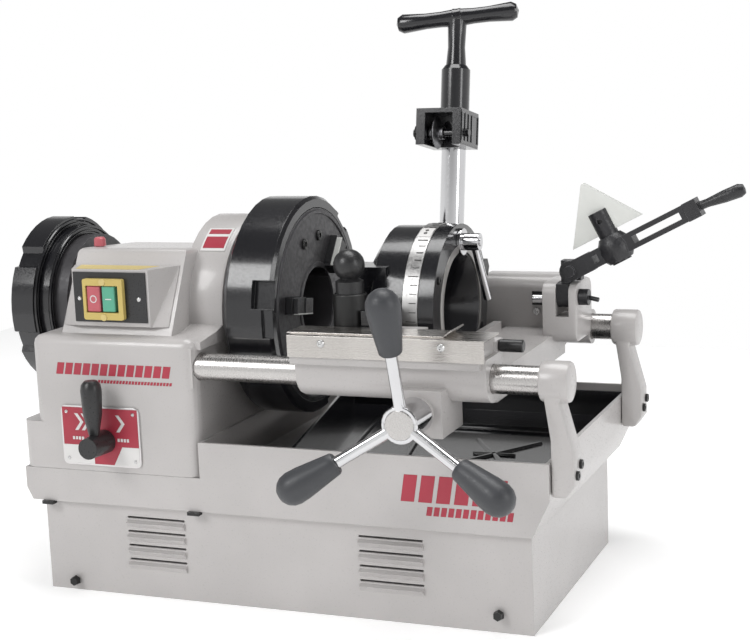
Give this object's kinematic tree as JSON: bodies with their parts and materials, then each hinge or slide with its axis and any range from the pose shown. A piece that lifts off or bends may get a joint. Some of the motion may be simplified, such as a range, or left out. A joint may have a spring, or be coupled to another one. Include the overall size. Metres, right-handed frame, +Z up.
{
  "type": "pipe threading machine",
  "caption": "Bench pipe threading machine: spindle with front and rear chucks, and a carriage on guide rods with die head, swing-up pipe cutter and folding reamer.",
  "frame": {"origin": "centre of the base's underside", "axes": "+X along the spindle from the rear chuck to the carriage, +Y from the operator to the back, +Z up"},
  "size_m": [0.6836, 0.4178, 0.5375],
  "materials": {
    "grey_paint": "semi-gloss light grey enamel",
    "black_paint": "gloss black enamel",
    "black_cast": "blackened casting",
    "chuck_steel": "dark satin",
    "chrome": "bright chrome",
    "polished": "ground and polished",
    "stainless": "brushed stainless",
    "tool_steel": "ground tool steel",
    "slate_plastic": "matt slate grey",
    "black_plastic": "satin black",
    "yellow": "yellow",
    "red": "red",
    "green": "green",
    "sign": "printed red and white plate",
    "motor": "grey"
  },
  "bodies": {
    "frame": {"base_skirt": "grey_paint", "bed": "grey_paint", "chip_tray": "black_paint", "headstock_casing": "grey_paint", "switch_box": "grey_paint", "switch_plate": "black_plastic", "switch_frame": "yellow", "speed_plate": "sign", "motor": "motor", "front_rod": "polished", "rear_rod": "polished", "front_rod_bracket": "grey_paint", "rear_rod_bracket": "grey_paint", "oil_pump": "tool_steel"},
    "spindle": {"spindle_tube": "polished", "spindle_gear": "tool_steel", "chuck_body": "chuck_steel", "rear_chuck_body": "chuck_steel"},
    "pinion": {"motor_pinion": "tool_steel"},
    "chuck_ring": {"chuck_hand_ring": "black_paint"},
    "rear_ring": {"rear_chuck_ring": "black_paint"},
    "speed_lever": {"speed_lever": "black_plastic"},
    "filler_cap": {"filler_cap": "red"},
    "stop_button": {"stop_button": "red"},
    "start_button": {"start_button": "green"},
    "carriage": {"carriage": "grey_paint", "splash_cover": "stainless", "trip_post": "black_plastic", "hinge_bracket": "black_cast", "die_head_body": "black_paint"},
    "handwheel": {"feed_shaft": "tool_steel", "handwheel": "chrome", "handwheel_knob_1": "slate_plastic", "handwheel_knob_2": "slate_plastic", "handwheel_knob_3": "slate_plastic"},
    "carriage_knob": {"carriage_knob": "black_plastic"},
    "scale_ring": {"die_head_scale_ring": "polished"},
    "die_head_lever": {"die_head_lever": "chrome"},
    "cutter": {"cutter_base": "black_cast", "cutter_post": "chrome"},
    "cutter_slide": {"cutter_slide": "black_paint"},
    "cutter_wheel": {"cutter_wheel": "tool_steel"},
    "cutter_screw": {"cutter_screw": "black_paint"},
    "cutter_roller_1": {"cutter_roller_1": "tool_steel"},
    "cutter_roller_2": {"cutter_roller_2": "tool_steel"},
    "reamer_block": {"reamer_block": "black_cast"},
    "reamer_arm": {"reamer_arm": "black_cast"},
    "reamer_head": {"reamer_spindle": "black_cast", "reamer_blade": "tool_steel"},
    "clevis_screw": {"clevis_screw": "black_cast"},
    "chuck_jaw_1": {"chuck_jaw_1": "black_cast"},
    "rear_jaw_1": {"rear_jaw_1": "tool_steel"},
    "chuck_jaw_2": {"chuck_jaw_2": "black_cast"},
    "rear_jaw_2": {"rear_jaw_2": "tool_steel"},
    "chuck_jaw_3": {"chuck_jaw_3": "black_cast"},
    "rear_jaw_3": {"rear_jaw_3": "tool_steel"},
    "die_1": {"die_1": "tool_steel"},
    "die_2": {"die_2": "tool_steel"},
    "die_3": {"die_3": "tool_steel"},
    "die_4": {"die_4": "tool_steel"}
  },
  "joints": [
    {"name": "spindle_turn", "type": "hinge", "parent": "frame", "child": "spindle", "pos_m": [0, 0.0021, 0.2582], "axis": [1, 0, 0], "continuous": true},
    {"name": "pinion_turn", "type": "hinge", "parent": "frame", "child": "pinion", "pos_m": [-0.104, 0.0496, 0.17593], "axis": [1, 0, 0], "continuous": true},
    {"name": "chuck_ring_turn", "type": "hinge", "parent": "spindle", "child": "chuck_ring", "pos_m": [0, 0.0021, 0.2582], "axis": [1, 0, 0], "range_deg": [0, 720]},
    {"name": "rear_ring_turn", "type": "hinge", "parent": "spindle", "child": "rear_ring", "pos_m": [-0.28, 0.0021, 0.2582], "axis": [1, 0, 0], "range_deg": [0, 360]},
    {"name": "chuck_jaw_1_slide", "type": "slide", "parent": "spindle", "child": "chuck_jaw_1", "axis": [0, 0.9903, -0.1392], "range_m": [0, 0.026]},
    {"name": "rear_jaw_1_slide", "type": "slide", "parent": "spindle", "child": "rear_jaw_1", "axis": [0, 0.9903, -0.1392], "range_m": [0, 0.018]},
    {"name": "chuck_jaw_2_slide", "type": "slide", "parent": "spindle", "child": "chuck_jaw_2", "axis": [0, -0.6157, -0.788], "range_m": [0, 0.026]},
    {"name": "rear_jaw_2_slide", "type": "slide", "parent": "spindle", "child": "rear_jaw_2", "axis": [0, -0.6157, -0.788], "range_m": [0, 0.018]},
    {"name": "chuck_jaw_3_slide", "type": "slide", "parent": "spindle", "child": "chuck_jaw_3", "axis": [0, -0.3746, 0.9272], "range_m": [0, 0.026]},
    {"name": "rear_jaw_3_slide", "type": "slide", "parent": "spindle", "child": "rear_jaw_3", "axis": [0, -0.3746, 0.9272], "range_m": [0, 0.018]},
    {"name": "stop_button_press", "type": "slide", "parent": "frame", "child": "stop_button", "axis": [0, 1, 0], "range_m": [0, 0.0025], "stiffness_N_per_m": 400},
    {"name": "start_button_press", "type": "slide", "parent": "frame", "child": "start_button", "axis": [0, 1, 0], "range_m": [0, 0.0025], "stiffness_N_per_m": 400},
    {"name": "speed_lever_turn", "type": "hinge", "parent": "frame", "child": "speed_lever", "pos_m": [-0.165, -0.142, 0.15], "axis": [0, -1, 0], "range_deg": [-40, 40]},
    {"name": "filler_cap_turn", "type": "hinge", "parent": "frame", "child": "filler_cap", "pos_m": [-0.2055, -0.062, 0.3212], "axis": [0, 0, 1], "range_deg": [0, 360]},
    {"name": "carriage_slide", "type": "slide", "parent": "frame", "child": "carriage", "axis": [1, 0, 0], "range_m": [-0.045, 0.008]},
    {"name": "handwheel_turn", "type": "hinge", "parent": "carriage", "child": "handwheel", "pos_m": [0.151, -0.166, 0.196], "axis": [0, -1, 0], "range_deg": [-190, 40]},
    {"name": "carriage_knob_turn", "type": "hinge", "parent": "carriage", "child": "carriage_knob", "pos_m": [0.2043, -0.097, 0.244], "axis": [1, 0, 0], "range_deg": [0, 360]},
    {"name": "scale_ring_turn", "type": "hinge", "parent": "carriage", "child": "scale_ring", "pos_m": [0.115, 0.0021, 0.2582], "axis": [1, 0, 0], "range_deg": [0, 30]},
    {"name": "die_1_slide", "type": "slide", "parent": "carriage", "child": "die_1", "axis": [0, 0.7071, 0.7071], "range_m": [0, 0.004]},
    {"name": "die_2_slide", "type": "slide", "parent": "carriage", "child": "die_2", "axis": [0, -0.7071, 0.7071], "range_m": [0, 0.004]},
    {"name": "die_3_slide", "type": "slide", "parent": "carriage", "child": "die_3", "axis": [0, -0.7071, -0.7071], "range_m": [0, 0.004]},
    {"name": "die_4_slide", "type": "slide", "parent": "carriage", "child": "die_4", "axis": [0, 0.7071, -0.7071], "range_m": [0, 0.004]},
    {"name": "die_head_lever_turn", "type": "hinge", "parent": "carriage", "child": "die_head_lever", "pos_m": [0.138, 0.005, 0.3195], "axis": [1, 0, 0], "range_deg": [-40, 60]},
    {"name": "cutter_swing", "type": "hinge", "parent": "carriage", "child": "cutter", "pos_m": [0.094, 0.098, 0.282], "axis": [1, 0, 0], "range_deg": [0, 20]},
    {"name": "cutter_feed", "type": "slide", "parent": "cutter", "child": "cutter_slide", "axis": [0, -0.1788, -0.9839], "range_m": [0, 0.025]},
    {"name": "cutter_screw_turn", "type": "hinge", "parent": "cutter_slide", "child": "cutter_screw", "pos_m": [0.094, 0.13349, 0.4773], "axis": [0, -0.1788, -0.9839], "range_deg": [0, 905]},
    {"name": "cutter_wheel_spin", "type": "hinge", "parent": "cutter_slide", "child": "cutter_wheel", "pos_m": [0.087, 0.09253, 0.41411], "axis": [1, 0, 0], "continuous": true},
    {"name": "cutter_roller_1_spin", "type": "hinge", "parent": "cutter", "child": "cutter_roller_1", "pos_m": [0.086, 0.08418, 0.315], "axis": [1, 0, 0], "continuous": true},
    {"name": "cutter_roller_2_spin", "type": "hinge", "parent": "cutter", "child": "cutter_roller_2", "pos_m": [0.0943, 0.08418, 0.315], "axis": [1, 0, 0], "continuous": true},
    {"name": "reamer_swing", "type": "hinge", "parent": "carriage", "child": "reamer_block", "pos_m": [0.209, 0.0783, 0.2582], "axis": [1, 0, 0], "range_deg": [0, 90]},
    {"name": "reamer_arm_swing", "type": "hinge", "parent": "reamer_block", "child": "reamer_arm", "pos_m": [0.2228, 0.0765, 0.284], "axis": [0, -1, 0], "range_deg": [-20, 62.5]},
    {"name": "reamer_spindle_slide", "type": "slide", "parent": "reamer_arm", "child": "reamer_head", "axis": [-0.4617, 0, 0.887], "range_m": [0, 0.015]},
    {"name": "clevis_screw_turn", "type": "hinge", "parent": "carriage", "child": "clevis_screw", "pos_m": [0.229, 0.0783, 0.2582], "axis": [1, 0, 0], "range_deg": [0, 360]}
  ],
  "couplings": [
    {"joint": "pinion_turn", "follows": "spindle_turn", "ratio": -3.75},
    {"joint": "chuck_jaw_1_slide", "follows": "chuck_ring_turn", "m_per_rad": 0.0020611},
    {"joint": "rear_jaw_1_slide", "follows": "rear_ring_turn", "m_per_rad": 0.0028489},
    {"joint": "chuck_jaw_2_slide", "follows": "chuck_ring_turn", "m_per_rad": 0.0020611},
    {"joint": "rear_jaw_2_slide", "follows": "rear_ring_turn", "m_per_rad": 0.0028489},
    {"joint": "chuck_jaw_3_slide", "follows": "chuck_ring_turn", "m_per_rad": 0.0020611},
    {"joint": "rear_jaw_3_slide", "follows": "rear_ring_turn", "m_per_rad": 0.0028489},
    {"joint": "handwheel_turn", "follows": "carriage_slide", "rad_per_m": 71.429},
    {"joint": "die_1_slide", "follows": "scale_ring_turn", "m_per_rad": 0.0075439},
    {"joint": "die_2_slide", "follows": "scale_ring_turn", "m_per_rad": 0.0075439},
    {"joint": "die_3_slide", "follows": "scale_ring_turn", "m_per_rad": 0.0075439},
    {"joint": "die_4_slide", "follows": "scale_ring_turn", "m_per_rad": 0.0075439},
    {"joint": "cutter_screw_turn", "follows": "cutter_feed", "rad_per_m": 628.32}
  ]
}
